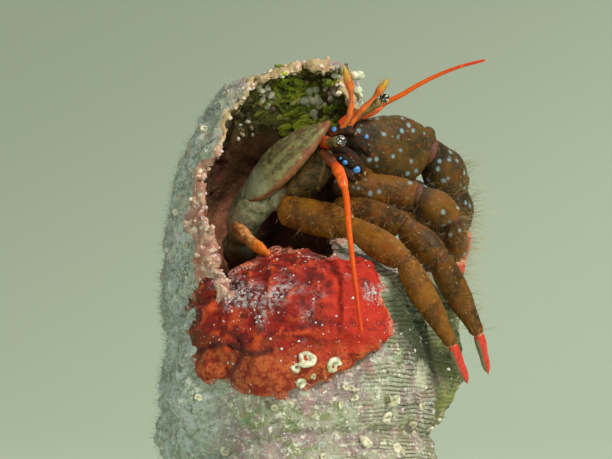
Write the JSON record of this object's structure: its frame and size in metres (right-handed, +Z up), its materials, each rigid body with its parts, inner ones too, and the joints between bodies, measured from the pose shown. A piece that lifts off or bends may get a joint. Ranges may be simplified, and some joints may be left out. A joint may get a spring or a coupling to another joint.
{
  "type": "hermit crab in a shell",
  "caption": "Still, life-size model of a small red-legged hermit crab leaning out of an overgrown cerith shell that stands tip down on a round display base.",
  "frame": {"origin": "centre of the flat foot of the display base, on the surface that it stands on", "axes": "+Z up; -Y is the side that the shell's mouth faces; +X is the side that the crab's head, claws and walking legs reach to"},
  "size_m": [0.031, 0.031, 0.0483],
  "materials": {
    "shell_chalk": "matt, worn and overgrown shell",
    "shell_lip": "satin, pink broken lip",
    "sponge_red": "soft, granular encrusting sponge",
    "silt": "loose pale grains",
    "worm_tube": "chalky tubes and barnacles",
    "algae": "wet green and grey turf",
    "shield_olive": "wet hard plate",
    "skin_soft": "soft wet skin",
    "leg_brown": "wet horny plate",
    "dactyl_red": "wet horny plate",
    "claw_olive": "wet horny plate with pale blue spots",
    "antenna_orange": "wet, ringed",
    "eyestalk_olive": "wet",
    "cornea": "glossy white with black spots",
    "bristle": "fine stiff hairs",
    "stand_wood": "ebonised, satin"
  },
  "bodies": {
    "root": {"abdomen_front": "skin_soft", "abdomen_rear": "skin_soft", "antenna_base_left": "antenna_orange", "antenna_base_right": "antenna_orange", "antenna_left": "antenna_orange", "antenna_right": "antenna_orange", "antennule_left": "antenna_orange", "antennule_right": "antenna_orange", "carapace": "skin_soft", "claw_left_carpus": "claw_olive", "claw_left_finger": "claw_olive", "claw_left_merus": "claw_olive", "claw_left_palm": "claw_olive", "claw_left_thumb": "claw_olive", "claw_right_carpus": "claw_olive", "claw_right_finger": "claw_olive", "claw_right_merus": "claw_olive", "claw_right_palm": "claw_olive", "claw_right_thumb": "claw_olive", "eye_left": "cornea", "eye_right": "cornea", "eyestalk_left": "eyestalk_olive", "eyestalk_right": "eyestalk_olive", "jawfoot_left": "claw_olive", "jawfoot_right": "claw_olive", "leg2_left_carpus": "leg_brown", "leg2_left_dactyl": "dactyl_red", "leg2_left_merus": "leg_brown", "leg2_left_propodus": "leg_brown", "leg2_right_carpus": "leg_brown", "leg2_right_dactyl": "dactyl_red", "leg2_right_merus": "leg_brown", "leg2_right_propodus": "leg_brown", "leg3_left_carpus": "leg_brown", "leg3_left_dactyl": "dactyl_red", "leg3_left_merus": "leg_brown", "leg3_left_propodus": "leg_brown", "leg3_right_carpus": "leg_brown", "leg3_right_dactyl": "dactyl_red", "leg3_right_merus": "leg_brown", "leg3_right_propodus": "leg_brown", "leg4_right": "leg_brown", "shell": "shell_chalk", "shield": "shield_olive", "sponge": "sponge_red", "stand_base": "stand_wood", "thorax": "skin_soft"}
  },
  "joints": []
}
